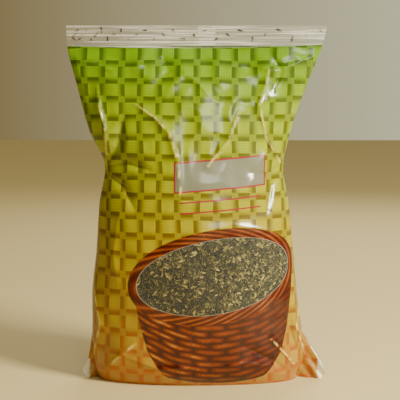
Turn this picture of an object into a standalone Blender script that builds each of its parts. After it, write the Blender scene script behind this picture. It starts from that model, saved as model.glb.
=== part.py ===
"""A pillow pouch of dried, crushed basil, standing on its settled base.

One printed film web is formed into a tube, welded down the back in a fin, and
crimped shut at both ends.  The herb has sunk to the lower two thirds, so the
pouch is round below, pinched at the neck and flat at the header.  A few leaf
flakes are caught between the two layers of the clear header and in the lower
corners.  Metres, +Z up, the printed front faces -Y, origin under the middle.
"""

import math
import random

import bmesh
import bpy
import numpy as np

# Driving dimensions -------------------------------------------------------
HEIGHT = 0.300            # floor to the upper crimp
HALF_WIDTH = 0.110        # half of the lay-flat width
BELLY = 0.042             # greatest half depth
BACK_SHARE = 0.972        # the back bulges less, which leaves room for its fin
WALL = 0.0004             # film, drawn thicker than the real 0.06 mm web
HEADER_GAP = 0.0012       # between the two layers where flakes are caught
HEADER_FOOT = 0.284       # where the clear header begins
CLEARANCE = 0.0004        # between pieces that touch
FILL_TOP = 0.216          # how high the settled herb stands
FIN_WIDTH = 0.012         # welded fin down the back
FIN_STAND_OFF = 0.0004    # from the back of the tube to the folded fin
FIN_FOOT = 0.010          # the fin runs out of sight under the base here
RIM_INSET = 0.0010        # side fold of the tube, outside to inside
EDGE_HALF = WALL + HEADER_GAP / 2   # half thickness where the tube is flat
AROUND = 30               # points on the front, and as many on the back
RING_STEP = 0.009         # between rings up the pouch
FOOT_BENDS = [0.0, 0.0015, 0.004]   # closer rings where the film turns under
FOOT_TOP = 0.008
HERB_SLACK = 0.0020       # between the settled herb and the front and back film
HERB_SIDE_SLACK = 0.0110  # between the herb and the creased sides
HERB_CROWN = 0.018        # height of the herb's rounded top
HERB_TOP_SHARE = 0.05     # smallest squared width of the crown, so that it ends in a flat
HERB_EDGE = 0.0003        # half thickness of the herb where the film pinches it out

# Height, left reach, right reach, half depth, and how round the section is:
# 1 is a pointed lens, 0.5 an ellipse.
STATIONS = (
    (0.000, 0.084, 0.085, 0.030, 0.42),
    (0.012, 0.088, 0.089, 0.039, 0.45),
    (0.040, 0.090, 0.090, 0.0415, 0.50),
    (0.070, 0.090, 0.086, BELLY, 0.52),
    (0.110, 0.086, 0.082, 0.041, 0.55),
    (0.150, 0.083, 0.078, 0.037, 0.60),
    (0.180, 0.078, 0.073, 0.032, 0.66),
    (0.212, 0.091, 0.079, 0.026, 0.80),
    (0.250, 0.101, 0.092, 0.014, 0.95),
    (HEADER_FOOT, 0.109, 0.106, 0.0006, 1.00),
    (HEIGHT, HALF_WIDTH, HALF_WIDTH, 0.0, 1.00),
)

# The flat corners of the base: height, left reach, right reach.
EARS = (
    (0.000, 0.097, 0.106),
    (0.005, 0.099, HALF_WIDTH),
    (0.015, 0.094, 0.106),
    (0.026, 0.092, 0.099),
    (0.040, 0.090, 0.090),
)
EAR_LEAN = 0.010          # how far a corner leans forward
EAR_ROOT = 0.084          # where the corners leave the round body
TIP_POWER = 40            # blunts the side fold

FLAKE_LENGTH = 0.0034
FLAKE_WIDTH = 0.0015
FLAKE_THICKNESS = 0.0004
HEADER_FLAKES = 30
HEADER_ROWS = 3
HEADER_ROW_FOOT = 0.0045  # the lowest row, above the header's foot
HEADER_ROW_STEP = 0.0036
HEADER_MARGIN = 0.007     # clear of the header's ends
HEADER_CROWDING = 1.7     # above 1 crowds them towards the left end
CORNER_FLAKES = 6
CORNER_REACH = 0.0935     # the outermost corner flake, from the middle
CORNER_DRAW_IN = 0.0012   # each higher one lies this much closer in
CORNER_FOOT = 0.004       # height of the lowest
CORNER_STEP = 0.0036      # between corner flakes, up the corner
CORNER_FLAKE_SHARE = 0.6  # their length, against the longest flake
HEADER_FLAKE_SHARES = (0.6, 1.0)
SEED = 11


def clear_scene():
    for old in list(bpy.data.objects):
        bpy.data.objects.remove(old, do_unlink=True)


def material(name, colour, roughness, metallic=0.0):
    """A Principled material with one colour."""
    made = bpy.data.materials.new(name)
    made.use_nodes = True
    shader = made.node_tree.nodes["Principled BSDF"]
    shader.inputs["Base Color"].default_value = (*colour, 1.0)
    shader.inputs["Roughness"].default_value = roughness
    shader.inputs["Metallic"].default_value = metallic
    return made


def smooth_between(rows, z):
    """Each column of the rows at height z, eased by a monotone cubic."""
    heights = [row[0] for row in rows]
    z = min(max(z, heights[0]), heights[-1])
    i = min(int(np.searchsorted(heights, z, side="right")) - 1, len(rows) - 2)
    values = np.array(rows)[:, 1:]
    spans = np.diff(heights)[:, None]
    slopes = np.diff(values, axis=0) / spans

    def tangent(k):
        if k == 0:
            return slopes[0]
        if k == len(rows) - 1:
            return slopes[-1]
        before, after = slopes[k - 1], slopes[k]
        mean = 2 * before * after / np.where(before + after == 0, 1, before + after)
        return np.where(before * after > 0, mean, 0.0)

    span = heights[i + 1] - heights[i]
    t = (z - heights[i]) / span
    h00, h10 = 2 * t**3 - 3 * t**2 + 1, t**3 - 2 * t**2 + t
    h01, h11 = -2 * t**3 + 3 * t**2, t**3 - t**2
    return (h00 * values[i] + h10 * span * tangent(i)
            + h01 * values[i + 1] + h11 * span * tangent(i + 1))


def reaches(z):
    """Left and right reach of the whole section: the body, or its corners below."""
    left, right, _, _ = smooth_between(STATIONS, z)
    if z < EARS[-1][0]:
        ear_left, ear_right = smooth_between(EARS, z)
        return max(left, ear_left), max(right, ear_right)
    return left, right


def ear_lean(x, z):
    """The corners of the base lean forward, most at the floor."""
    out = max(0.0, abs(x) - EAR_ROOT) / (HALF_WIDTH - EAR_ROOT)
    low = max(0.0, 1.0 - z / EARS[-1][0])
    return -EAR_LEAN * out * low


def half_depth(x, z, inset):
    """Half depth of the round body alone at (x, z), drawn in by inset."""
    left, right, depth, roundness = smooth_between(STATIONS, z)
    reach = (right if x > 0 else left) - inset
    share = abs(x) / reach
    if share >= 1.0:
        return 0.0
    return depth * (1.0 - share**2) ** roundness


def section(z, edge_half, inset):
    """One closed ring of the tube at height z, front first, seen from above."""
    left, right = reaches(z)
    left -= inset
    right -= inset
    ring = []
    for k in range(2 * AROUND):
        angle = math.pi * k / AROUND
        share = math.cos(angle)
        x = (right if share > 0 else left) * share
        blunt = math.sqrt(max(0.0, 1.0 - abs(share) ** TIP_POWER))
        half = edge_half * blunt + half_depth(x, z, inset)
        side = -1.0 if k <= AROUND else BACK_SHARE
        ring.append((x, side * half + ear_lean(x, z), z))
    return ring


def skin_rings(bm, rings):
    """Quads between one ring and the next; returns the rings' vertices."""
    rows = [[bm.verts.new(point) for point in ring] for ring in rings]
    for lower, upper in zip(rows, rows[1:]):
        for k, vertex in enumerate(lower):
            after = (k + 1) % len(lower)
            bm.faces.new((vertex, lower[after], upper[after], upper[k]))
    return rows


def finish(name, bm, look):
    """Turn the bmesh into a named, smooth-shaded object with its material."""
    bmesh.ops.recalc_face_normals(bm, faces=bm.faces)
    mesh = bpy.data.meshes.new(name)
    bm.to_mesh(mesh)
    bm.free()
    mesh.materials.append(look)
    mesh.shade_smooth()
    made = bpy.data.objects.new(name, mesh)
    bpy.context.scene.collection.objects.link(made)
    return made


def ring_heights(lowest, highest):
    """Even heights from lowest to highest, about RING_STEP apart."""
    count = round((highest - lowest) / RING_STEP)
    return [lowest + (highest - lowest) * k / count for k in range(count + 1)]


def tube_heights():
    """Every ring of the film, closer together where it turns under at the foot."""
    return FOOT_BENDS + ring_heights(FOOT_TOP, HEIGHT)


def film_tube(look):
    """The film as one wall: outside up, over the open slit of the crimp, inside down."""
    bm = bmesh.new()
    heights = tube_heights()
    outside = [section(z, EDGE_HALF, 0.0) for z in heights]
    inner_heights = [max(z, WALL) for z in reversed(heights)]
    inside = [section(z, EDGE_HALF - WALL, RIM_INSET) for z in inner_heights]
    rows = skin_rings(bm, outside + inside)
    bm.faces.new(list(reversed(rows[0])))
    bm.faces.new(rows[-1])
    return finish("film_pouch", bm, look)


def back_fin(look):
    """The lengthwise weld down the back: two layers of film, folded flat to one side."""
    bm = bmesh.new()
    rings = []
    for z in tube_heights():
        if z < FIN_FOOT or z > HEADER_FOOT:
            continue
        under = BACK_SHARE * (EDGE_HALF + half_depth(0.0, z, 0.0)) + FIN_STAND_OFF
        outer = under + 2 * WALL
        rings.append([(0.0, under, z), (FIN_WIDTH, under, z), (FIN_WIDTH, outer, z), (0.0, outer, z)])
    rows = skin_rings(bm, rings)
    bm.faces.new(list(reversed(rows[0])))
    bm.faces.new(rows[-1])
    return finish("back_fin", bm, look)


def herb_ring(z, crown_foot):
    """The herb's outline at height z: the tube's own inner curve, drawn in and rounded at the top."""
    inset = RIM_INSET + HERB_SIDE_SLACK
    into = max(0.0, z - crown_foot) / HERB_CROWN
    scale = math.sqrt(max(HERB_TOP_SHARE, 1.0 - into**2))
    left, right, _, _ = smooth_between(STATIONS, z)
    tube = section(z, EDGE_HALF - WALL, RIM_INSET)[AROUND::-1]
    tube_x = [x for x, _, _ in tube]
    tube_half = [ear_lean(x, z) - y for x, y, _ in tube]
    ring = []
    for k in range(2 * AROUND):
        share = math.cos(math.pi * k / AROUND)
        x = ((right if share > 0 else left) - inset) * share
        blunt = math.sqrt(max(0.0, 1.0 - abs(share) ** TIP_POWER))
        half = max(np.interp(x, tube_x, tube_half) - HERB_SLACK, HERB_EDGE * blunt)
        side = -1.0 if k <= AROUND else 1.0
        ring.append((x * scale, side * half * scale + ear_lean(x, z), z))
    return ring


def herb_fill(look):
    """The settled herb as one solid, filling the round of the tube up to its crown."""
    bm = bmesh.new()
    low = WALL + CLEARANCE
    heights = [low] + [z for z in tube_heights() if low < z < FILL_TOP]
    crown_foot = heights[-1] - HERB_CROWN
    rows = skin_rings(bm, [herb_ring(z, crown_foot) for z in heights])
    bm.faces.new(list(reversed(rows[0])))
    bm.faces.new(rows[-1])
    return finish("herb_fill", bm, look)


def flake(name, place, turn, length, look):
    """One bit of dried leaf between the film's layers: a flat six-sided blade."""
    bm = bmesh.new()
    width = FLAKE_WIDTH * length / FLAKE_LENGTH
    outline = [(0.5, 0.0), (0.2, 0.5), (-0.28, 0.42), (-0.5, 0.0), (-0.2, -0.46), (0.25, -0.4)]
    half = FLAKE_THICKNESS / 2
    cos_turn, sin_turn = math.cos(turn), math.sin(turn)
    faces = []
    for side in (-half, half):
        points = []
        for along, across in outline:
            u, v = along * length, across * width
            x = place[0] + u * cos_turn - v * sin_turn
            z = place[1] + u * sin_turn + v * cos_turn
            points.append(bm.verts.new((x, side + ear_lean(x, z), z)))
        faces.append(points)
    front, back = faces
    bm.faces.new(front)
    bm.faces.new(list(reversed(back)))
    for k, point in enumerate(front):
        after = (k + 1) % len(front)
        bm.faces.new((point, back[k], back[after], front[after]))
    return finish(name, bm, look)


def header_places():
    """Places in the clear header: staggered rows, crowded at the left end."""
    places = []
    low = HEADER_FOOT + HEADER_ROW_FOOT
    for k in range(HEADER_FLAKES):
        share = k / (HEADER_FLAKES - 1)
        span = 2 * (HALF_WIDTH - HEADER_MARGIN)
        x = HEADER_MARGIN - HALF_WIDTH + span * share**HEADER_CROWDING
        z = low + HEADER_ROW_STEP * (k % HEADER_ROWS)
        places.append((x, z))
    return places


def corner_places():
    """Places in the two flat corners of the base, between the layers."""
    places = []
    for k in range(CORNER_FLAKES):
        side = -1.0 if k % 2 == 0 else 1.0
        step = k // 2
        x = side * (CORNER_REACH - CORNER_DRAW_IN * step)
        places.append((x, CORNER_FOOT + CORNER_STEP * step))
    return places


def main():
    clear_scene()
    film = material("printed_film", (0.42, 0.45, 0.05), 0.25)
    herb = material("dried_basil", (0.13, 0.13, 0.05), 0.9)
    film_tube(film)
    back_fin(film)
    herb_fill(herb)
    rng = random.Random(SEED)
    for k, (x, z) in enumerate(header_places()):
        length = FLAKE_LENGTH * rng.uniform(*HEADER_FLAKE_SHARES)
        flake(f"header_flake_{k + 1:02d}", (x, z), rng.uniform(0, math.pi), length, herb)
    for k, (x, z) in enumerate(corner_places()):
        length = FLAKE_LENGTH * CORNER_FLAKE_SHARE
        flake(f"corner_flake_{k + 1:02d}", (x, z), rng.uniform(0, math.pi), length, herb)


main()
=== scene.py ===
# %% [markdown]
# # A pouch of dried basil
#
# A clear film tube, printed from behind, is filled with crushed basil and welded down the back and across
# both ends. It stands on its settled base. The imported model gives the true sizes, so every length
# below is either read from it or is a small detail laid on it.

# %% Load the frame
import math

import bpy
import numpy as np
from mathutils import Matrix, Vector, noise


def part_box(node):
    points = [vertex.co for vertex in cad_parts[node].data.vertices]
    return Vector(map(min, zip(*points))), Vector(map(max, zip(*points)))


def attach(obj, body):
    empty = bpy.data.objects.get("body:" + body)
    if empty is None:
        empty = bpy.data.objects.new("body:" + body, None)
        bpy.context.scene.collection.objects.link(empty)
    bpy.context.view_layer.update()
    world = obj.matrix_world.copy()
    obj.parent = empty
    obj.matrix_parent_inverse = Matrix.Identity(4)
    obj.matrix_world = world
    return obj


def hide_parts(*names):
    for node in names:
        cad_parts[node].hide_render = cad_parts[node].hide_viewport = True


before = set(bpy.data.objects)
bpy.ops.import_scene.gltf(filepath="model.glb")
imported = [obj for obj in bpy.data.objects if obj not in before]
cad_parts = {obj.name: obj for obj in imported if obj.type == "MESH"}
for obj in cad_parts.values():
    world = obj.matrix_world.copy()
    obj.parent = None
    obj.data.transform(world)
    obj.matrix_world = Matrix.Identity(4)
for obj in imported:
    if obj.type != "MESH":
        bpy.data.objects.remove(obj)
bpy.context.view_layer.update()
film_high = Vector(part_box("film_pouch")[1])
herb_high = Vector(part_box("herb_fill")[1])
HEIGHT = film_high.z
HALF_WIDTH = film_high.x
print("the pouch stands", round(HEIGHT, 3), "m tall and", round(2 * HALF_WIDTH, 3), "m wide")

# %% [markdown]
# ## The shape of the full tube
#
# Film can't stretch, so its outline says how it is filled: wide where it lies flat at the header, narrow
# at the neck where the herb ends, wide again at the base. A few stations up the pouch hold the left and
# right reach, the half depth and how round the section is. A table keeps each number where a maker can
# read it, and an easing curve fills in between, which a sculpted mesh would hide.

# %% Stations and easing
# Height, left reach, right reach, half depth, roundness (1 is a lens, 0.5 an ellipse).
BELLY = 0.0415
STATIONS = np.array((
    (0.000, 0.084, 0.085, 0.030, 0.42),
    (0.012, 0.088, 0.089, 0.0385, 0.45),
    (0.040, 0.090, 0.090, 0.0412, 0.50),
    (0.070, 0.090, 0.086, BELLY, 0.52),
    (0.110, 0.086, 0.082, 0.0405, 0.55),
    (0.150, 0.083, 0.078, 0.0365, 0.60),
    (0.180, 0.078, 0.073, 0.0315, 0.66),
    (0.212, 0.091, 0.079, 0.0255, 0.80),
    (0.250, 0.101, 0.092, 0.014, 0.95),
    (0.284, 0.109, 0.105, 0.0008, 1.00),
    (HEIGHT, HALF_WIDTH, HALF_WIDTH - 0.001, 0.0, 1.00),
))
# The flat corners of the base: height, left reach, right reach.
EARS = np.array((
    (0.000, 0.095, 0.106),
    (0.005, 0.098, 0.1095),
    (0.015, 0.094, 0.106),
    (0.026, 0.092, 0.099),
    (0.040, 0.090, 0.090),
))
HEADER_FOOT = 0.284


def eased(rows, heights):
    """The rows' columns at many heights at once, by a monotone cubic."""
    known, values = rows[:, 0], rows[:, 1:]
    slopes = np.diff(values, axis=0) / np.diff(known)[:, None]
    tangents = np.vstack([slopes[:1], np.zeros_like(slopes[1:]), slopes[-1:]])
    before, after = slopes[:-1], slopes[1:]
    same_way = before * after > 0
    both = np.where(same_way, before + after, 1.0)
    tangents[1:-1] = np.where(same_way, 2 * before * after / both, 0.0)
    heights = np.clip(heights, known[0], known[-1])
    i = np.clip(np.searchsorted(known, heights, side="right") - 1, 0, len(known) - 2)
    span = known[i + 1] - known[i]
    t = ((heights - known[i]) / span)[..., None]
    span = span[..., None]
    return ((2 * t**3 - 3 * t**2 + 1) * values[i] + (t**3 - 2 * t**2 + t) * span * tangents[i]
            + (-2 * t**3 + 3 * t**2) * values[i + 1] + (t**3 - t**2) * span * tangents[i + 1])


print("stations from", STATIONS[0, 0], "to", round(float(STATIONS[-1, 0]), 3), "m")

# %% [markdown]
# ## Creases and buckles
#
# A pouch looks like film because of its creases: sharp folds that run down from the header, fans at the
# corners, small dents where loose film lies on loose herb. Each crease is a line across the front and a
# depth. Lines are listed where the eye goes, and a quiet noise fills the rest. A cloth simulation
# could buckle the film too, perhaps more truly. None was run for this pouch. A list of lines has the one
# sure advantage that a maker can say where each fold goes.

# %% The crease list and the depth it gives
# Each crease: its corners as (x, z), its height out of the surface, and its half width.
FRONT_CREASES = (
    (((-0.083, 0.247), (-0.082, 0.232), (-0.077, 0.214), (-0.076, 0.192)), 0.0035, 0.006),
    (((-0.050, 0.234), (-0.035, 0.224), (-0.023, 0.211), (-0.016, 0.189), (-0.013, 0.160)), 0.0026, 0.007),
    (((-0.026, 0.240), (-0.018, 0.255), (-0.010, 0.260), (0.003, 0.250), (0.017, 0.236)), 0.0018, 0.005),
    (((0.009, 0.184), (0.026, 0.204), (0.035, 0.228)), 0.0024, 0.006),
    (((0.060, 0.262), (0.052, 0.232), (0.058, 0.205), (0.070, 0.186)), 0.0026, 0.007),
    (((-0.078, 0.181), (-0.058, 0.186), (-0.040, 0.181)), -0.0045, 0.006),
    (((0.073, 0.184), (0.058, 0.176), (0.046, 0.178)), -0.0030, 0.005),
    (((-0.100, 0.272), (-0.070, 0.262), (-0.040, 0.268)), 0.0016, 0.005),
    (((0.095, 0.272), (0.066, 0.262), (0.030, 0.270)), 0.0018, 0.005),
    (((0.090, 0.075), (0.084, 0.048), (0.093, 0.020)), 0.0026, 0.005),
    (((0.076, 0.066), (0.080, 0.040), (0.090, 0.016)), -0.0026, 0.004),
    (((0.062, 0.040), (0.076, 0.024), (0.086, 0.010)), 0.0024, 0.004),
    (((-0.088, 0.082), (-0.082, 0.050), (-0.089, 0.020)), 0.0022, 0.005),
    (((-0.072, 0.046), (-0.080, 0.028), (-0.088, 0.010)), -0.0022, 0.004),
    (((-0.062, 0.026), (-0.030, 0.016), (0.010, 0.018)), 0.0016, 0.005),
    (((0.008, 0.013), (0.038, 0.021), (0.066, 0.017)), 0.0018, 0.005),
    (((-0.064, 0.150), (-0.070, 0.110), (-0.066, 0.084)), 0.0012, 0.007),
    (((-0.004, 0.128), (0.030, 0.136), (0.062, 0.130)), 0.0014, 0.006),
    (((0.040, 0.034), (0.062, 0.022), (0.080, 0.006)), -0.0022, 0.004),
    (((-0.052, 0.036), (-0.068, 0.022), (-0.082, 0.006)), 0.0022, 0.004),
    (((0.074, 0.182), (0.060, 0.198), (0.052, 0.222)), -0.0034, 0.006),
    (((-0.079, 0.180), (-0.066, 0.198), (-0.060, 0.226)), -0.0040, 0.007),
    (((-0.078, 0.178), (-0.060, 0.166), (-0.052, 0.148)), -0.0030, 0.006),
    (((0.072, 0.180), (0.062, 0.166), (0.058, 0.146)), -0.0024, 0.006),
    (((-0.030, 0.276), (-0.024, 0.262), (-0.034, 0.250)), -0.0020, 0.005),
    (((0.062, 0.276), (0.070, 0.262), (0.064, 0.246)), -0.0020, 0.005),
)


PALE_FOLD_FROM = 0.0021       # outward folds higher than this get a pale line along them: ink cracks and a painted highlight
PALE_FOLD_HALF = 0.0007     # half the width of that pale line
RIDGE_FALL = 1.9        # how fast a ridge falls away within its half width
END_SHARE = 0.06        # a crease is cut off this near its ends, where it would come to nothing
RIPPLE_LEVEL = 0.35     # the height of a ripple's crest, before it is scaled
RIPPLE_STRETCH = 0.8    # ripples are this much tighter across than up


def crease_height(x, z, creases, sharp=None):
    """How far the creases push the surface out; sharp collects the lines of the outward folds."""
    out = np.zeros_like(x)
    for corners, height, half_width in creases:
        nearest = np.full_like(x, 1e9)
        along = np.zeros_like(x)
        count = len(corners) - 1
        for i, ((ax, az), (bx, bz)) in enumerate(zip(corners, corners[1:])):
            dx, dz = bx - ax, bz - az
            t = np.clip(((x - ax) * dx + (z - az) * dz) / (dx * dx + dz * dz), 0, 1)
            gap = np.hypot(x - ax - t * dx, z - az - t * dz)
            along = np.where(gap < nearest, (i + t) / count, along)
            nearest = np.minimum(nearest, gap)
        ridge = np.exp(-np.abs(nearest) / half_width * RIDGE_FALL)
        # these outward folds get the print's pale line: ink cracks and a painted highlight
        if sharp is not None and height > PALE_FOLD_FROM:
            sharp[:] = np.maximum(sharp, np.clip(1.4 - nearest / PALE_FOLD_HALF, 0.0, 1.0))
        out += height * ridge * np.sin(np.pi * np.clip(along, END_SHARE, 1 - END_SHARE)) ** 0.6
    return out


def ripples(x, z, scale, seed):
    """Faceted ripples: ridged noise that is sharp along its crests, as stiff film buckles."""
    flat = np.empty(x.size)
    for k, (px, pz) in enumerate(zip(x.ravel(), z.ravel())):
        flat[k] = noise.noise(Vector((px * scale, pz * scale * RIPPLE_STRETCH, seed)))
    return (RIPPLE_LEVEL - np.abs(flat)).reshape(x.shape)


print(len(FRONT_CREASES), "creases on the front")

# %% [markdown]
# ## The film
#
# The film is one sheet mesh: rings of points up the tube, front first, and a floor where it turns under.
# Each point also keeps its place on the flat web, in metres, as its UV. The print is then drawn on the
# flat web, as a press prints it, and it bends with every crease. Projecting the print from the front
# would be quicker, but it would smear down the sides and round the corners.

# %% One ring of the tube
AROUND = 150            # points across the front, and as many across the back
UP = 250                # rings up the pouch
TIP_POWER = 40          # blunts the side fold
EDGE_HALF = 0.0007      # half the thickness where the tube lies flat
WELDED_HALF = 0.00012   # and where the header's edge is welded shut
BACK_SHARE = 0.972      # the back bulges less, which leaves room for its fin
EAR_ROOT = 0.084
EAR_LEAN = 0.0090       # how far the base corners lean forward
HEADER_WAVE = 0.0022    # how far the header waves to and fro

heights = np.concatenate([[0.0001, 0.0008, 0.002], np.linspace(0.003, HEIGHT - 0.0002, UP)])
angles = np.pi * np.arange(2 * AROUND) / AROUND
Z, ANGLE = np.meshgrid(heights, angles, indexing="ij")
body = eased(STATIONS, Z)
corner = eased(EARS, Z)
low_corner = Z < EARS[-1, 0]
left = np.where(low_corner, np.maximum(body[..., 0], corner[..., 0]), body[..., 0])
right = np.where(low_corner, np.maximum(body[..., 1], corner[..., 1]), body[..., 1])
share = np.cos(ANGLE)
X = np.where(share > 0, right, left) * share
reach = np.where(X > 0, body[..., 1], body[..., 0])
inside = np.clip(1.0 - (X / reach) ** 2, 0.0, 1.0)
depth = body[..., 2] * inside ** body[..., 3]
blunt = np.sqrt(np.clip(1.0 - np.abs(share) ** TIP_POWER, 0.0, 1.0))
on_front = ANGLE <= np.pi
print("film grid", X.shape)

# %% [markdown]
# ## Creases on the tube
#
# The listed creases and two sizes of noise push the tube's rings in and out. They fade where the film is
# held: at the floor, at the header and at the side folds. They grow where it is loose, above the herb. The
# header has no depth of its own, so it waves as one sheet and carries the ridges of its weld. Bump in the
# material would be lighter, but it would leave the outline smooth, and film shows its folds there first.

# %% Press the creases into it
LOOSE_FROM, LOOSE_OVER = 0.150, 0.090       # the film loosens from this height, over this much
CREASE_GAIN = 1.25
BROAD_RIPPLE, FINE_RIPPLE, BACK_RIPPLE = 0.0048, 0.0019, 0.0042
CRIMP_PITCH, CRIMP_HEIGHT = 0.0048, 0.00035
WAVE_PER_M, WAVE_START = 46.0, 0.7          # how fast the header waves from side to side
WAVE_FROM, WAVE_OVER = 0.235, 0.05
PLEAT_HEIGHT, PLEATS_PER_M, PLEAT_SLANT, PLEAT_TOP = 0.0018, 420.0, 1.4, 0.05

loose = np.clip((Z - LOOSE_FROM) / LOOSE_OVER, 0.0, 1.0) * np.clip((HEADER_FOOT - Z) / 0.012, 0.0, 1.0)
held = np.clip(Z / 0.010, 0.0, 1.0) * np.clip((HEADER_FOOT - Z) / 0.010, 0.0, 1.0)
away_from_edge = np.clip((1.0 - np.abs(share)) / 0.05, 0.0, 1.0)
fold_lines = np.zeros_like(X)
creases = crease_height(X, Z, FRONT_CREASES, fold_lines) * CREASE_GAIN
fold_lines *= on_front & (Z > 0.015) & (Z < HEADER_FOOT - 0.004)
mirrored = crease_height(-X * 0.96, Z * 0.97 + 0.006, FRONT_CREASES)
broad = ripples(X, Z, 22.0, 3.1) * BROAD_RIPPLE
fine = ripples(X, Z, 62.0, 8.6) * FINE_RIPPLE
back_broad = ripples(X, Z, 20.0, 14.2) * BACK_RIPPLE
stiffness = 0.45 + 0.55 * loose
flat_half = np.where(Z > HEIGHT - 0.0015, WELDED_HALF, EDGE_HALF)
front_push = (creases + (broad + fine) * stiffness) * held * away_from_edge
back_push = (mirrored + (back_broad + fine) * stiffness) * held * away_from_edge
depth_out = flat_half * blunt + np.maximum(depth + np.where(on_front, front_push, back_push), 0.0)
crimp = np.sin(Z * 2 * np.pi / CRIMP_PITCH) * CRIMP_HEIGHT * np.clip((Z - HEADER_FOOT) / 0.002, 0, 1)


def middle_plane(x, z):
    """Where the tube's middle lies: it waves at the header, and leans and pleats at the base corners."""
    out = np.clip(np.abs(x) - EAR_ROOT, 0.0, None) / (HALF_WIDTH - EAR_ROOT)
    lean = -EAR_LEAN * out * np.clip(1.0 - z / EARS[-1, 0], 0.0, 1.0)
    wave = HEADER_WAVE * np.sin(x * WAVE_PER_M + WAVE_START) * np.clip((z - WAVE_FROM) / WAVE_OVER, 0.0, 1.0)
    folds = np.sin((np.abs(x) * PLEAT_SLANT + z) * PLEATS_PER_M)
    pleats = PLEAT_HEIGHT * folds * out * np.clip(1.0 - z / PLEAT_TOP, 0.0, 1.0)
    return lean + wave + pleats, out


middle, out = middle_plane(X, Z)
Y = np.where(on_front, -depth_out, depth_out * BACK_SHARE) + middle + crimp
BARE_BELOW, BARE_EDGE, RIGHT_BARE = 0.020, 0.004, 0.42
bare_corner = out * np.clip((BARE_BELOW - Z) / BARE_EDGE, 0.0, 1.0) * np.where(X > 0, RIGHT_BARE, 1.0)
print("deepest front", round(float(-Y.min()), 4), "m, deepest back", round(float(Y.max()), 4), "m")

# %% [markdown]
# ## The flat web
#
# To know where a point of the tube lies on the flat web, walk along its ring and add up the steps: that
# is the distance across. The distance up is added in the same way along the middle of the front. The back
# is measured from its own middle, so that both halves of its print run straight.

# %% Lay the flat web on it and build the mesh
step = np.hypot(np.diff(X, axis=1), np.diff(np.where(on_front, -depth, depth), axis=1))
arc = np.concatenate([np.zeros((len(heights), 1)), np.cumsum(step, axis=1)], axis=1)
FRONT_MIDDLE, BACK_MIDDLE = AROUND // 2, AROUND + AROUND // 2
BACK_AT = -2 * HALF_WIDTH       # where the back's middle lies on the flat web
U = np.where(on_front, arc[:, FRONT_MIDDLE][:, None] - arc, BACK_AT + arc[:, BACK_MIDDLE][:, None] - arc)
rise = np.hypot(np.diff(Z[:, FRONT_MIDDLE]), np.diff(depth[:, FRONT_MIDDLE]))
V = np.concatenate([[0.0], np.cumsum(rise)])[:, None] * np.ones_like(Z)
V *= HEIGHT / V.max()


def grid_mesh(name, points, web=None, close_foot=True):
    """A closed ring grid as a mesh object, with the flat web as its UVs."""
    rows, columns = points.shape[:2]
    k = np.arange(rows - 1)[:, None] * columns
    i = np.arange(columns)[None, :]
    j = (i + 1) % columns
    quads = np.stack([k + i, k + j, k + j + columns, k + i + columns], axis=-1).reshape(-1, 4)
    faces = [tuple(int(n) for n in quad) for quad in quads]
    if close_foot:
        half = columns // 2
        for n in range(half):
            faces.append((n + 1, n, (columns - n) % columns, (columns - n - 1) % columns))
    faces = [face for face in (tuple(dict.fromkeys(face)) for face in faces) if len(face) > 2]
    mesh = bpy.data.meshes.new(name)
    mesh.from_pydata([tuple(point) for point in points.reshape(-1, 3)], [], faces)
    if web is not None:
        layer = mesh.uv_layers.new(name="web")
        flat = web.reshape(-1, 2)
        for loop in mesh.loops:
            layer.data[loop.index].uv = flat[loop.vertex_index]
    mesh.flip_normals()
    mesh.shade_smooth()
    made = bpy.data.objects.new(name, mesh)
    bpy.context.scene.collection.objects.link(made)
    return made


film = grid_mesh("film", np.stack([X, Y, Z], axis=-1), np.stack([U, V], axis=-1))
# fold places the print's pale fold lines, painted highlights with ink cracks
for name, values in (("fold", fold_lines), ("bare", bare_corner)):
    marks = film.data.attributes.new(name, "FLOAT", "POINT")
    marks.data.foreach_set("value", values.ravel().astype(np.float32))
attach(film, "root")
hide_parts("film_pouch")
print("film has", len(film.data.vertices), "points")

# %% [markdown]
# ## The print
#
# The print is a picture of plaited leaf strips, green above and straw yellow below, and of a wicker basket
# whose mouth is left clear. It is drawn with maths nodes on the flat web's coordinates, so it needs no
# picture file: a plain weave is a chessboard of cells in which the strip that lies on top changes.

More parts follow.
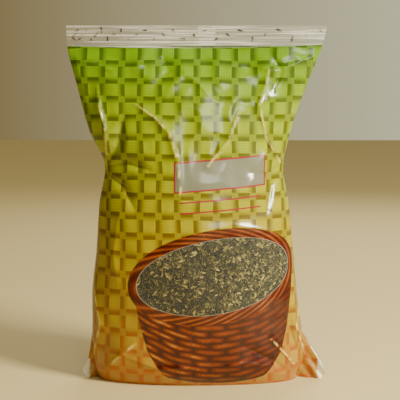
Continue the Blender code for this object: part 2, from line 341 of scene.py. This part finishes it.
# %% A small maths helper for node trees
class Sums:
    """Writes arithmetic into a node tree: every call adds one Math node."""

    def __init__(self, tree):
        self.tree = tree

    def do(self, operation, *values, clamp=False):
        node = self.tree.nodes.new("ShaderNodeMath")
        node.operation = operation
        node.use_clamp = clamp
        for socket, value in zip(node.inputs, values):
            if isinstance(value, (int, float)):
                socket.default_value = value
            else:
                self.tree.links.new(value, socket)
        return node.outputs[0]

    def add(self, a, b):
        return self.do("ADD", a, b)

    def sub(self, a, b):
        return self.do("SUBTRACT", a, b)

    def mul(self, a, b):
        return self.do("MULTIPLY", a, b)

    def between(self, value, low, high):
        """0 at low, 1 at high, clamped."""
        return self.do("MULTIPLY", self.sub(value, low), 1.0 / (high - low), clamp=True)

    def centred(self, value, pitch):
        """Distance from the middle of each cell of this pitch, 0 to 1 at its edge."""
        cell = self.do("FRACT", self.mul(value, 1.0 / pitch))
        return self.mul(self.do("ABSOLUTE", self.sub(cell, 0.5)), 2.0)

    def colour_mix(self, factor, first, second, blend="MIX"):
        node = self.tree.nodes.new("ShaderNodeMix")
        node.data_type = "RGBA"
        node.blend_type = blend
        for socket, value in ((node.inputs[0], factor), (node.inputs[6], first), (node.inputs[7], second)):
            if isinstance(value, tuple):
                socket.default_value = (*value, 1.0)
            elif isinstance(value, (int, float)):
                socket.default_value = value
            else:
                self.tree.links.new(value, socket)
        return node.outputs[2]

    def ramp(self, value, stops):
        node = self.tree.nodes.new("ShaderNodeValToRGB")
        elements = node.color_ramp.elements
        while len(elements) < len(stops):
            elements.new(0.5)
        for element, (place, colour) in zip(elements, stops):
            element.position = place
            element.color = (*colour, 1.0)
        self.tree.links.new(value, node.inputs[0])
        return node.outputs[0]

    def noise(self, vector, scale, detail=3.0):
        node = self.tree.nodes.new("ShaderNodeTexNoise")
        node.inputs["Scale"].default_value = scale
        node.inputs["Detail"].default_value = detail
        self.tree.links.new(vector, node.inputs["Vector"])
        return node.outputs["Fac"]


def linear(*srgb):
    """A colour given as 0 to 255 screen values, in the renderer's linear light."""
    return tuple((c / 255 / 12.92) if c < 10 else ((c / 255 + 0.055) / 1.055) ** 2.4 for c in srgb)


print("a screen grey of 128 is", round(linear(128)[0], 3), "in linear light")

# %% [markdown]
# ### The layout
#
# Every size in the print is a length on the flat web, so the print can be measured with a ruler there, and
# one value moves one thing.

# %% The layout of the print, in metres on the flat web
WEAVE = 0.0158                    # from one strip of the plaiting to the next
STRIP_SHARE = 0.64                # how much of that the strip covers
MOUTH = (0.016, 0.094)            # middle of the basket's clear mouth
MOUTH_HALF = (0.068, 0.030)       # half its width and height
MOUTH_TILT = math.radians(9)
RIM = 0.008                       # the basket's braided rim
BASKET_HALF = 0.073
BASKET_FOOT = 0.008
BASKET_SAG = 4.4                  # how strongly its rows and its foot curve up to the sides
CANE = 0.0050                     # one row of wicker
CANE_LENGTH = 0.027
PLATE = (0.020, 0.176)            # middle of the blank label plate
PLATE_HALF = (0.039, 0.0125)
PLATE_TILT = 0.075                # rise over run
BORDER = 0.0012
RULES_BELOW = (0.0205, 0.0290)    # the two rules, below the plate's middle
RULE_HALF = 0.034                 # half their length
SWAY = 0.0042                     # how far the plaiting wanders from a true grid
SOFT = 0.03                       # softness of a strip's edge, as a share of the cell
PRINT_SAG, PRINT_TILT = 0.20, 0.006   # the print's upper edge
FRONT_REACH = 0.11                # where that edge is level again, towards the back
print("the basket's mouth is", 2 * MOUTH_HALF[0], "m wide and the plate", 2 * PLATE_HALF[0], "m")

# %% [markdown]
# ### The plaiting
#
# A plain weave is a chessboard: in one cell the strip across lies on top, in the next the strip up. Each
# strip darkens where it dips under its neighbour. A slow noise bends the grid a little, because leaf
# strips are never quite straight. A tiled picture would be easier, but it would repeat.

# %% Plaited strips
def plaiting(s, place, u, v):
    """The plaited leaf strips, the bent distance across, and the leaf's grain."""
    sway = s.mul(s.sub(s.noise(place, 26.0, 1.0), 0.5), SWAY)
    us = s.add(s.add(u, 60 * WEAVE), sway)
    vs = s.add(v, s.mul(s.sub(s.noise(place, 21.0, 1.0), 0.5), SWAY))
    across, up = s.centred(us, WEAVE), s.centred(vs, WEAVE)
    column = s.do("FLOOR", s.mul(us, 1 / WEAVE))
    row = s.do("FLOOR", s.mul(vs, 1 / WEAVE))
    level = s.do("MODULO", s.add(column, row), 2.0)
    side = s.add(s.mul(level, across), s.mul(s.sub(1.0, level), up))
    end = s.add(s.mul(level, up), s.mul(s.sub(1.0, level), across))
    gap = s.between(side, STRIP_SHARE - SOFT, STRIP_SHARE + SOFT)
    knot = s.mul(gap, s.between(end, STRIP_SHARE - SOFT, STRIP_SHARE + SOFT))
    dip = s.do("POWER", s.between(end, 0.30, 1.0), 1.6)
    height_share = s.mul(v, 1 / HEIGHT)
    strip = s.ramp(height_share, ((0.0, linear(172, 124, 52)), (0.18, linear(166, 136, 14)),
                                  (0.42, linear(168, 154, 0)), (0.68, linear(146, 166, 0)),
                                  (0.90, linear(98, 148, 0)), (1.0, linear(82, 132, 2))))
    shade = s.ramp(height_share, ((0.0, linear(166, 72, 14)), (0.20, linear(116, 58, 0)),
                                  (0.45, linear(78, 54, 0)), (0.75, linear(50, 62, 0)),
                                  (1.0, linear(30, 58, 0))))
    grain = s.noise(place, 240.0)
    strip = s.colour_mix(s.mul(grain, 0.35), strip, linear(120, 128, 20))
    fibre = s.centred(s.add(s.mul(level, u), s.mul(s.sub(1.0, level), v)), WEAVE / 7)
    strip = s.colour_mix(s.mul(fibre, 0.16), strip, shade)
    weave = s.colour_mix(s.mul(dip, 0.74), strip, shade)
    weave = s.colour_mix(s.mul(gap, 0.80), weave, shade)
    weave = s.colour_mix(s.mul(knot, 0.60), weave, strip)
    return weave, us, grain


print("one cell of the plaiting is", round(WEAVE * 1000, 1), "mm")

# %% [markdown]
# ### The basket
#
# Rows of wicker sag towards the middle and are staggered like bricks, which reads as round canes woven
# about stakes. The mouth is a tilted ellipse with a braided rim, and inside it there is no ink at all.

# %% Basket and its clear mouth
def basket_print(s, place, u, v, us):
    """Where the basket is, its colour, and where its mouth is clear."""
    du, dv = s.sub(u, MOUTH[0]), s.sub(v, MOUTH[1])
    cos_tilt, sin_tilt = math.cos(MOUTH_TILT), math.sin(MOUTH_TILT)
    mu = s.add(s.mul(du, cos_tilt), s.mul(dv, sin_tilt))
    mv = s.sub(s.mul(dv, cos_tilt), s.mul(du, sin_tilt))

    def ellipse(extra):
        a = s.mul(mu, 1 / (MOUTH_HALF[0] + extra))
        b = s.mul(mv, 1 / (MOUTH_HALF[1] + extra))
        return s.do("SQRT", s.add(s.mul(a, a), s.mul(b, b)))

    clear = s.sub(1.0, s.between(ellipse(0.0), 0.985, 1.0))
    rim = s.sub(1.0, s.between(ellipse(RIM), 0.985, 1.0))
    down = s.between(v, BASKET_FOOT, MOUTH[1])
    half = s.add(BASKET_HALF * 0.60, s.mul(s.do("POWER", down, 0.6), BASKET_HALF * 0.40))
    bottom = s.sub(v, s.mul(s.mul(du, du), BASKET_SAG))
    above_foot = s.between(bottom, 0.003, 0.018)
    half = s.mul(half, s.add(0.82, s.mul(s.do("POWER", above_foot, 0.5), 0.18)))
    waver = s.mul(s.sub(s.noise(place, 34.0), 0.5), 0.006)
    bent = s.add(s.add(v, s.mul(s.mul(du, du), -BASKET_SAG)), waver)
    wall = s.between(s.sub(half, s.do("ABSOLUTE", du)), 0.0, 0.0006)
    wall = s.mul(wall, s.between(bottom, 0.0030, 0.0036))
    wall = s.mul(wall, s.sub(1.0, s.between(mv, 0.0, 0.001)))
    basket = s.do("MAXIMUM", wall, rim)
    rows = s.mul(bent, 1 / CANE)
    stagger = s.mul(s.do("MODULO", s.add(s.do("FLOOR", rows), 40.0), 2.0), 0.5)
    turns = s.do("FRACT", s.add(s.mul(us, 1 / CANE_LENGTH), stagger))
    cane_u = s.mul(s.do("ABSOLUTE", s.sub(turns, 0.5)), 2.0)
    cane_v = s.mul(s.do("ABSOLUTE", s.sub(s.do("FRACT", rows), 0.5)), 2.0)
    round_cane = s.mul(s.sub(1.0, s.mul(cane_v, cane_v)), s.sub(1.0, s.do("POWER", cane_u, 4.0)))
    streak = s.noise(place, 420.0)
    sunny = s.sub(1.0, s.mul(s.between(du, -0.02, 0.06), 0.45))
    patchy = s.add(0.45, s.noise(place, 60.0))
    lit = s.mul(s.mul(round_cane, sunny), s.mul(patchy, 0.66))
    tone = s.do("ADD", lit, s.mul(streak, 0.20), clamp=True)
    cane = s.ramp(tone, ((0.0, linear(30, 5, 1)), (0.36, linear(72, 17, 2)),
                         (0.66, linear(112, 44, 5)), (1.0, linear(206, 146, 60))))
    round_rim = s.add(ellipse(0.0), s.mul(waver, 6.0))
    twist = s.centred(s.add(s.mul(mu, 0.42), s.mul(round_rim, 0.050)), 0.0060)
    rim_tone = s.do("ADD", s.mul(s.mul(s.sub(1.0, twist), patchy), 0.75), s.mul(streak, 0.2), clamp=True)
    braid = s.ramp(rim_tone, ((0.0, linear(34, 7, 1)), (0.5, linear(88, 25, 3)),
                              (1.0, linear(158, 84, 24))))
    cane = s.colour_mix(rim, cane, braid)
    return basket, cane, clear


print("rows of wicker up the basket:", round((MOUTH[1] - BASKET_FOOT) / CANE))

# %% [markdown]
# ### The plate and the ink
#
# A label plate is left blank, with two thin rules below it. The ink then gets its edges: none in the
# header, none in the mouth and none at the tips of the base corners. Along the sharpest folds a pale line
# is painted: partly a painted highlight on the fold, partly ink cracks that let the pale film show through.

# %% Plate, rules and the edges of the ink
def plate_and_rules(s, u, v, inked):
    """The print with the blank label plate and its two rules laid over it."""
    pu = s.sub(u, PLATE[0])
    pv = s.sub(s.sub(v, PLATE[1]), s.mul(pu, PLATE_TILT))
    past_side = s.sub(s.do("ABSOLUTE", pu), PLATE_HALF[0])
    past_edge = s.sub(s.do("ABSOLUTE", pv), PLATE_HALF[1])
    far = s.do("MAXIMUM", past_side, past_edge)
    plate = s.sub(1.0, s.between(far, -0.0002, 0.0002))
    inner = s.sub(1.0, s.between(far, -BORDER - 0.0002, -BORDER + 0.0002))
    red = linear(140, 20, 40)
    inked = s.colour_mix(plate, inked, red)
    inked = s.colour_mix(inner, inked, linear(112, 114, 94))
    for below in RULES_BELOW:
        line = s.sub(1.0, s.between(s.do("ABSOLUTE", s.add(pv, below)), 0.0004, 0.0007))
        line = s.mul(line, s.sub(1.0, s.between(s.do("ABSOLUTE", pu), RULE_HALF, RULE_HALF + 0.0005)))
        inked = s.colour_mix(line, inked, red)
    return inked


def ink_edges(s, place, u, v, inked, clear):
    """The print with its pale fold lines, how much ink there is, and the painted glints on bare film."""
    front_u = s.do("MINIMUM", s.do("MAXIMUM", u, -FRONT_REACH), FRONT_REACH)
    sagged = s.sub(v, s.mul(s.mul(front_u, front_u), PRINT_SAG))
    top_edge = s.sub(sagged, s.mul(front_u, PRINT_TILT))
    header = s.between(top_edge, HEADER_FOOT - 0.0024, HEADER_FOOT - 0.0020)
    front = s.sub(1.0, s.between(s.do("ABSOLUTE", u), 0.105, 0.1055))
    bare = s.tree.nodes.new("ShaderNodeAttribute")
    bare.attribute_name = "bare"
    corner = s.between(bare.outputs["Fac"], 0.30, 0.34)
    ink = s.mul(s.sub(1.0, header), s.sub(1.0, s.mul(clear, front)))
    ink = s.mul(ink, s.sub(1.0, corner))
    fold = s.tree.nodes.new("ShaderNodeAttribute")
    fold.attribute_name = "fold"
    # painted highlight along the sharp outward folds, with ink cracks: a pale line on the print
    crack_and_highlight = s.mul(fold.outputs["Fac"], s.between(s.noise(place, 150.0), 0.40, 0.60))
    inked = s.colour_mix(s.mul(crack_and_highlight, 0.70), inked, linear(246, 226, 130))
    stretch = s.tree.nodes.new("ShaderNodeMapping")
    stretch.inputs["Scale"].default_value = (14.0, 560.0, 1.0)
    s.tree.links.new(place, stretch.inputs[0])
    # painted glints: pale streaks along the header, and a paler veil on the bare base corners
    glint = s.mul(header, s.between(s.noise(stretch.outputs[0], 1.0), 0.50, 0.72))
    glint = s.do("MAXIMUM", glint, s.mul(corner, 0.5))
    return inked, ink, glint


def print_nodes(tree):
    """The whole print: its colour, how much ink there is, the leaf's grain and the painted glints on the
    film.
    """
    s = Sums(tree)
    web = tree.nodes.new("ShaderNodeUVMap")
    web.uv_map = "web"
    split = tree.nodes.new("ShaderNodeSeparateXYZ")
    tree.links.new(web.outputs[0], split.inputs[0])
    place, u, v = web.outputs[0], split.outputs[0], split.outputs[1]
    weave, us, grain = plaiting(s, place, u, v)
    basket, cane, clear = basket_print(s, place, u, v, us)
    inked = plate_and_rules(s, u, v, s.colour_mix(basket, weave, cane))
    inked, ink, glint = ink_edges(s, place, u, v, inked, clear)
    return s, inked, ink, grain, glint


print("rules below the plate:", len(RULES_BELOW))

# %% [markdown]
# ### Clear film that carries ink
#
# The film is a glossy shader mixed with a transparent one. Ink makes it opaque. Bare film shows only as a
# faint veil that grows at a glancing angle. Glass would bend the light, and a web this thin doesn't.

# %% The film's material
def film_look():
    """Glossy printed film: opaque where there is ink, clear where there is none."""
    made = bpy.data.materials.new("printed film")
    made.use_nodes = True
    tree = made.node_tree
    shader = tree.nodes["Principled BSDF"]
    shader.inputs["IOR"].default_value = 1.5
    shader.inputs["Coat Weight"].default_value = 0.22
    shader.inputs["Specular IOR Level"].default_value = 0.40
    shader.inputs["Coat Roughness"].default_value = 0.10
    s, inked, ink, grain, glint = print_nodes(tree)
    coloured = s.colour_mix(ink, (0.90, 0.89, 0.80), inked)
    tree.links.new(coloured, shader.inputs["Base Color"])
    tree.links.new(s.add(0.14, s.mul(grain, 0.14)), shader.inputs["Roughness"])
    clear = tree.nodes.new("ShaderNodeBsdfTransparent")
    mix = tree.nodes.new("ShaderNodeMixShader")
    haze = tree.nodes.new("ShaderNodeLayerWeight")
    haze.inputs["Blend"].default_value = 0.20
    veil = s.add(0.025, s.mul(haze.outputs["Fresnel"], 0.5))
    # the painted glints add pale streaks to the veil
    veil = s.add(veil, s.mul(glint, 0.6))
    tree.links.new(s.do("MAXIMUM", ink, veil), mix.inputs[0])
    tree.links.new(clear.outputs[0], mix.inputs[1])
    tree.links.new(shader.outputs[0], mix.inputs[2])
    tree.links.new(mix.outputs[0], tree.nodes["Material Output"].inputs["Surface"])
    return made


film_material = film_look()
film.data.materials.append(film_material)
print("print drawn with", len(film_material.node_tree.nodes), "nodes")

# %% [markdown]
# ## The herb
#
# Crushed basil is thousands of curled leaf bits. Behind the clear mouth they press against the film, so
# each of them is a small folded blade laid on the herb's surface at its own angle. Elsewhere ink hides
# them and a lumpy body is enough. The bits are made in one mesh from arrays, with a colour value on every
# point; a particle system would give the same picture but no mesh to keep.

# %% The body of the herb
BEHIND_FILM = 0.0022
CROWN_HEIGHT = 0.0205       # of the herb's rounded top
SIDE_GAP = 0.006            # from the herb to the creased sides
LUMP = 0.0006
herb_rows = (heights > 0.002) & (heights < herb_high.z)
HZ = Z[herb_rows][::3]
crown = np.sqrt(np.clip(1.0 - np.clip((HZ - herb_high.z + 0.02) / CROWN_HEIGHT, 0, 1) ** 2, 0.0, 1.0))
HX = X[herb_rows][::3]
limit = np.where(HX > 0, body[herb_rows][::3][..., 1], body[herb_rows][::3][..., 0]) - SIDE_GAP
HX = np.clip(HX, -limit, limit)
HY = Y[herb_rows][::3]
HY = np.sign(HY) * np.maximum(np.abs(HY) - BEHIND_FILM, 0.0004)
lumps = ripples(HX, HZ, 260.0, 5.5) * LUMP
herb_points = np.stack([HX * crown, (HY + np.sign(HY) * -np.abs(lumps)) * crown, HZ], axis=-1)
lowest = herb_points[:1].copy()
lowest[..., 2] = 0.0016
herb_body = grid_mesh("herb_body", np.concatenate([lowest, herb_points]))
print("the herb stands", round(float(HZ.max()), 3), "m high")

# %% [markdown]
# ## Leaf bits
#
# One bit is a blade of six triangles about a sunken middle, so it catches light as a curled leaf does.
# Arrays turn, lean and scale thousands of them at once. The same helper makes the bits in the window and
# the stray ones, and each bit keeps a tint that its material reads.

# %% Leaf bits, many at a time
BLADE = np.array([(-0.5, 0, 0), (-0.15, 0.17, 0.08), (0.3, 0.12, 0.10), (0.5, 0, 0.04),
                  (0.22, -0.15, 0.08), (-0.2, -0.17, 0.10), (0.05, 0.0, -0.05)])


def leaf_bits(name, places, outward, lengths, turns, tints, tilt):
    """One mesh of folded leaf blades, each turned in the plane that its outward direction faces."""
    rng = np.random.default_rng(len(places))
    outward = outward / np.linalg.norm(outward, axis=1, keepdims=True)
    side = np.cross(outward, (0.0, 0.0, 1.0))
    side /= np.linalg.norm(side, axis=1, keepdims=True)
    upward = np.cross(side, outward)
    cos_turn, sin_turn = np.cos(turns)[:, None], np.sin(turns)[:, None]
    along = side * cos_turn + upward * sin_turn
    across = upward * cos_turn - side * sin_turn
    lean = rng.uniform(-tilt, tilt, (len(places), 1))
    along = along + outward * lean
    shape = BLADE[None] * rng.uniform(0.7, 1.3, (len(places), 7, 3))
    size = lengths[:, None, None]
    points = (places[:, None] + size * (shape[..., :1] * along[:, None] + shape[..., 1:2] * across[:, None]
              + shape[..., 2:] * outward[:, None]))
    faces = []
    for k in range(len(places)):
        faces += [(7 * k + 6, 7 * k + n, 7 * k + (n + 1) % 6) for n in range(6)]
    mesh = bpy.data.meshes.new(name)
    mesh.from_pydata([tuple(point) for point in points.reshape(-1, 3)], [], faces)
    tint = mesh.attributes.new("tint", "FLOAT", "POINT")
    tint.data.foreach_set("value", np.repeat(tints, 7).astype(np.float32))
    made = bpy.data.objects.new(name, mesh)
    bpy.context.scene.collection.objects.link(made)
    return made


print("a leaf blade has", len(BLADE), "points")

# %% [markdown]
# ## Bits behind the clear mouth
#
# Each bit takes a random place in the mouth, looks up the film in front of it and lies a millimetre or two
# behind, facing the way the film faces there. Where the film turns sharply, a long bit can still poke
# through by a fraction of a millimetre.

# %% Lay them behind the clear mouth
WINDOW_BITS = 15000
WINDOW_X, WINDOW_Z = (-0.064, 0.082), (0.048, 0.134)
BIT_SHORTEST, BIT_SPREAD = 0.0018, 0.0042
rng = np.random.default_rng(4)
front_x = X[:, 1:AROUND]
front_y = Y[:, 1:AROUND]
px = rng.uniform(*WINDOW_X, WINDOW_BITS)
pz = rng.uniform(*WINDOW_Z, WINDOW_BITS)
rows = np.clip(np.searchsorted(heights, pz), 1, len(heights) - 2)
columns = np.array([np.abs(front_x[r] - x).argmin() for r, x in zip(rows, px)])
columns = np.clip(columns, 1, front_x.shape[1] - 2)
lengths = BIT_SHORTEST + BIT_SPREAD * rng.random(WINDOW_BITS) ** 2
deep = rng.uniform(0.0008, 0.0022, WINDOW_BITS)
slope_x = ((front_y[rows, columns + 1] - front_y[rows, columns - 1])
           / (front_x[rows, columns + 1] - front_x[rows, columns - 1]))
slope_x = np.clip(slope_x, -3.0, 3.0)
slope_z = np.clip((front_y[rows + 1, columns] - front_y[rows - 1, columns])
                  / (heights[rows + 1] - heights[rows - 1]), -2.0, 2.0)
outward = np.stack([slope_x, -np.ones(WINDOW_BITS), slope_z], axis=1)
unit = outward / np.linalg.norm(outward, axis=1, keepdims=True)
surface = np.stack([front_x[rows, columns], front_y[rows, columns], pz], axis=1)
tints = np.clip(rng.normal(0.46, 0.32, WINDOW_BITS), 0, 1)
window_bits = leaf_bits("window_bits", surface - unit * deep[:, None], outward, lengths,
                        rng.uniform(0, 2 * np.pi, WINDOW_BITS), tints, tilt=0.18)
shortest, longest = (round(float(length * 1000), 1) for length in (lengths.min(), lengths.max()))
print("bits are", shortest, "to", longest, "mm long")

# %% [markdown]
# ## Stray bits
#
# A few bits are caught between the layers of the header and in the base corners. Each takes its place and
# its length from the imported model, and is pressed flat into the film's middle.

# %% Stray bits in the header and in the corners
flake_boxes = [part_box(node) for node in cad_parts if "flake" in node]
centres = np.array([(Vector(low) + Vector(high)) / 2 for low, high in flake_boxes])
spans = np.array([max(Vector(high) - Vector(low)) for low, high in flake_boxes])
centres[:, 1] = middle_plane(centres[:, 0], centres[:, 2])[0]
facing = np.tile((0.0, -1.0, 0.0), (len(centres), 1))
stray_bits = leaf_bits("stray_bits", centres, facing, spans * 1.8, rng.uniform(0, 6.28, len(centres)),
                       rng.uniform(0.0, 0.5, len(centres)), tilt=0.05)
for vertex in stray_bits.data.vertices:
    middle = centres[vertex.index // 7, 1]
    vertex.co.y = middle + (vertex.co.y - middle) * 0.5
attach(stray_bits, "root")
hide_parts(*[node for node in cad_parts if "flake" in node])
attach(herb_body, "root")
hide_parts("herb_fill")
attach(window_bits, "root")
print(WINDOW_BITS, "bits behind the mouth,", len(centres), "stray bits")

# %% [markdown]
# ## Dried leaf
#
# Dried basil runs from olive brown to pale straw, and no two bits match. A value on each bit picks its
# colour from a ramp, and a fine noise mottles it. It is matt, so its roughness is high.

# %% The herb's material
def herb_look(name, by_bit):
    made = bpy.data.materials.new(name)
    made.use_nodes = True
    tree = made.node_tree
    shader = tree.nodes["Principled BSDF"]
    s = Sums(tree)
    place = tree.nodes.new("ShaderNodeTexCoord")
    mottle = s.noise(place.outputs["Object"], 900.0)
    if by_bit:
        tint = tree.nodes.new("ShaderNodeAttribute")
        tint.attribute_name = "tint"
        value = s.add(s.mul(tint.outputs["Fac"], 0.8), s.mul(mottle, 0.2))
    else:
        value = mottle
    colour = s.ramp(value, ((0.0, linear(14, 13, 5)), (0.38, linear(42, 42, 13)),
                            (0.68, linear(98, 92, 38)), (1.0, linear(214, 196, 120))))
    # the bulk herb's own mottled colour, darkened as painted shade for the gaps between the bits
    if not by_bit:
        colour = s.colour_mix(0.6, colour, linear(40, 38, 22))
    tree.links.new(colour, shader.inputs["Base Color"])
    tree.links.new(s.add(0.72, s.mul(mottle, 0.2)), shader.inputs["Roughness"])
    return made


bit_material = herb_look("dried leaf", True)
for piece in (window_bits, stray_bits):
    piece.data.materials.append(bit_material)
herb_body.data.materials.append(herb_look("herb in bulk", False))
print("the leaf's material has", len(bit_material.node_tree.nodes), "nodes")

# %% [markdown]
# ## The back fin
#
# Where the web's two edges meet, they are welded into a fin, which folds flat to one side. It is cut from
# the same printed film, so it takes the film's own points along the back, lifted by its thickness, and
# follows every buckle under it.

# %% Lift a strip of the back into a folded fin
FIN_FOOT = 0.006
FIN_LIFT = 0.0006
FIN_THICK = 0.0005
FIN_CURL, CURLS_PER_M = 0.0012, 70.0
FIN_PRINT_SHIFT = 0.0065    # the flap turns over, so its print doesn't meet the back's
fin_high = Vector(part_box("back_fin")[1])
fin_rows = (heights > FIN_FOOT) & (heights < HEIGHT - 0.001)
strip_columns = [k for k in range(AROUND, 2 * AROUND) if -0.0005 < X[AROUND, k] < fin_high.x]
FX, FY, FZ, FU, FV = (grid[fin_rows][:, strip_columns] for grid in (X, Y, Z, U, V))
curl = FIN_CURL * (FX / fin_high.x) ** 3 * (0.5 + 0.5 * np.sin(FZ * CURLS_PER_M))
under = np.stack([FX, FY + FIN_LIFT + curl, FZ], axis=-1)
over = np.stack([FX, FY + FIN_LIFT + FIN_THICK + curl, FZ], axis=-1)
fin_points = np.concatenate([under, over[:, ::-1]], axis=1)
flap_web = np.stack([FU + FIN_PRINT_SHIFT, FV + FIN_PRINT_SHIFT], axis=-1)
fin_web = np.concatenate([flap_web, flap_web[:, ::-1]], axis=1)
fin = grid_mesh("fin", fin_points, fin_web, close_foot=False)
fin.data.flip_normals()
fin.data.materials.append(film_material)
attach(fin, "root")
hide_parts("back_fin")
print("the fin has", len(fin.data.vertices), "points")

# %% [markdown]
# ## Floor, light and camera
#
# A pale floor, a warm lamp on the right and a weak fill from the front show the film's creases.

# %% Floor
FLOOR_HALF = 4
floor_mesh = bpy.data.meshes.new("floor")
corners = [(x * FLOOR_HALF, y * FLOOR_HALF, 0) for x, y in ((-1, -1), (1, -1), (1, 1), (-1, 1))]
floor_mesh.from_pydata(corners, [], [(0, 1, 2, 3)])
floor = bpy.data.objects.new("floor", floor_mesh)
bpy.context.scene.collection.objects.link(floor)
floor_material = bpy.data.materials.new("pale floor")
floor_material.use_nodes = True
floor_shader = floor_material.node_tree.nodes["Principled BSDF"]
floor_shader.inputs["Base Color"].default_value = (*linear(206, 186, 132), 1)
floor_shader.inputs["Roughness"].default_value = 0.7
floor_mesh.materials.append(floor_material)
print("the floor is", 2 * FLOOR_HALF, "m across")

# %% [markdown]
# ## The lamps and the room
#
# One warm lamp from the upper right does most of the work. The room itself is paler on the right than on
# the left, so that the gloss of the film has something to mirror.

# %% Lamps and room
def lamp(name, place, power, size, colour):
    data = bpy.data.lights.new(name, "AREA")
    data.energy, data.size, data.color = power, size, colour
    made = bpy.data.objects.new(name, data)
    made.location = place
    made.rotation_euler = (Vector((0, 0, 0.15)) - made.location).to_track_quat("-Z", "Y").to_euler()
    bpy.context.scene.collection.objects.link(made)


lamp("key", (0.95, -0.75, 0.85), 46.0, 0.36, (1.0, 0.93, 0.76))
lamp("fill", (0.5, -1.9, 1.1), 8.0, 0.5, (1.0, 0.95, 0.84))
lamp("back", (0.3, 1.1, 0.9), 8.0, 0.8, (1.0, 0.98, 0.94))
world = bpy.data.worlds.new("room")
world.use_nodes = True
ROOM_STRENGTH, ROOM_BLEND = 0.66, 0.22
world.node_tree.nodes["Background"].inputs[1].default_value = ROOM_STRENGTH
around = world.node_tree.nodes.new("ShaderNodeTexCoord")
apart = world.node_tree.nodes.new("ShaderNodeSeparateXYZ")
world.node_tree.links.new(around.outputs["Generated"], apart.inputs[0])
world_sums = Sums(world.node_tree)
to_right = world_sums.between(apart.outputs[0], -ROOM_BLEND, ROOM_BLEND)
room_colour = world_sums.colour_mix(to_right, linear(150, 126, 74), linear(255, 250, 206))
world.node_tree.links.new(room_colour, world.node_tree.nodes["Background"].inputs[0])
bpy.context.scene.world = world
print("the room's strength is", ROOM_STRENGTH)

# %% [markdown]
# ## The camera
#
# A long lens far away keeps the pouch's sides nearly upright. It looks down a little, enough to show the
# floor that the pouch stands on.

# %% Camera
LENS, SENSOR, VIEW_SPAN, RAISED = 100.0, 36.0, 0.340, math.radians(6)
aim = Vector((0.0025, 0.0, 0.153))
away = VIEW_SPAN * LENS / SENSOR
camera_data = bpy.data.cameras.new("camera")
camera_data.lens, camera_data.sensor_width = LENS, SENSOR
camera = bpy.data.objects.new("camera", camera_data)
camera.location = aim + Vector((0, -away * math.cos(RAISED), away * math.sin(RAISED)))
camera.rotation_euler = (aim - camera.location).to_track_quat("-Z", "Y").to_euler()
bpy.context.scene.collection.objects.link(camera)
bpy.context.scene.camera = camera
print("the camera stands", round(away, 2), "m away")
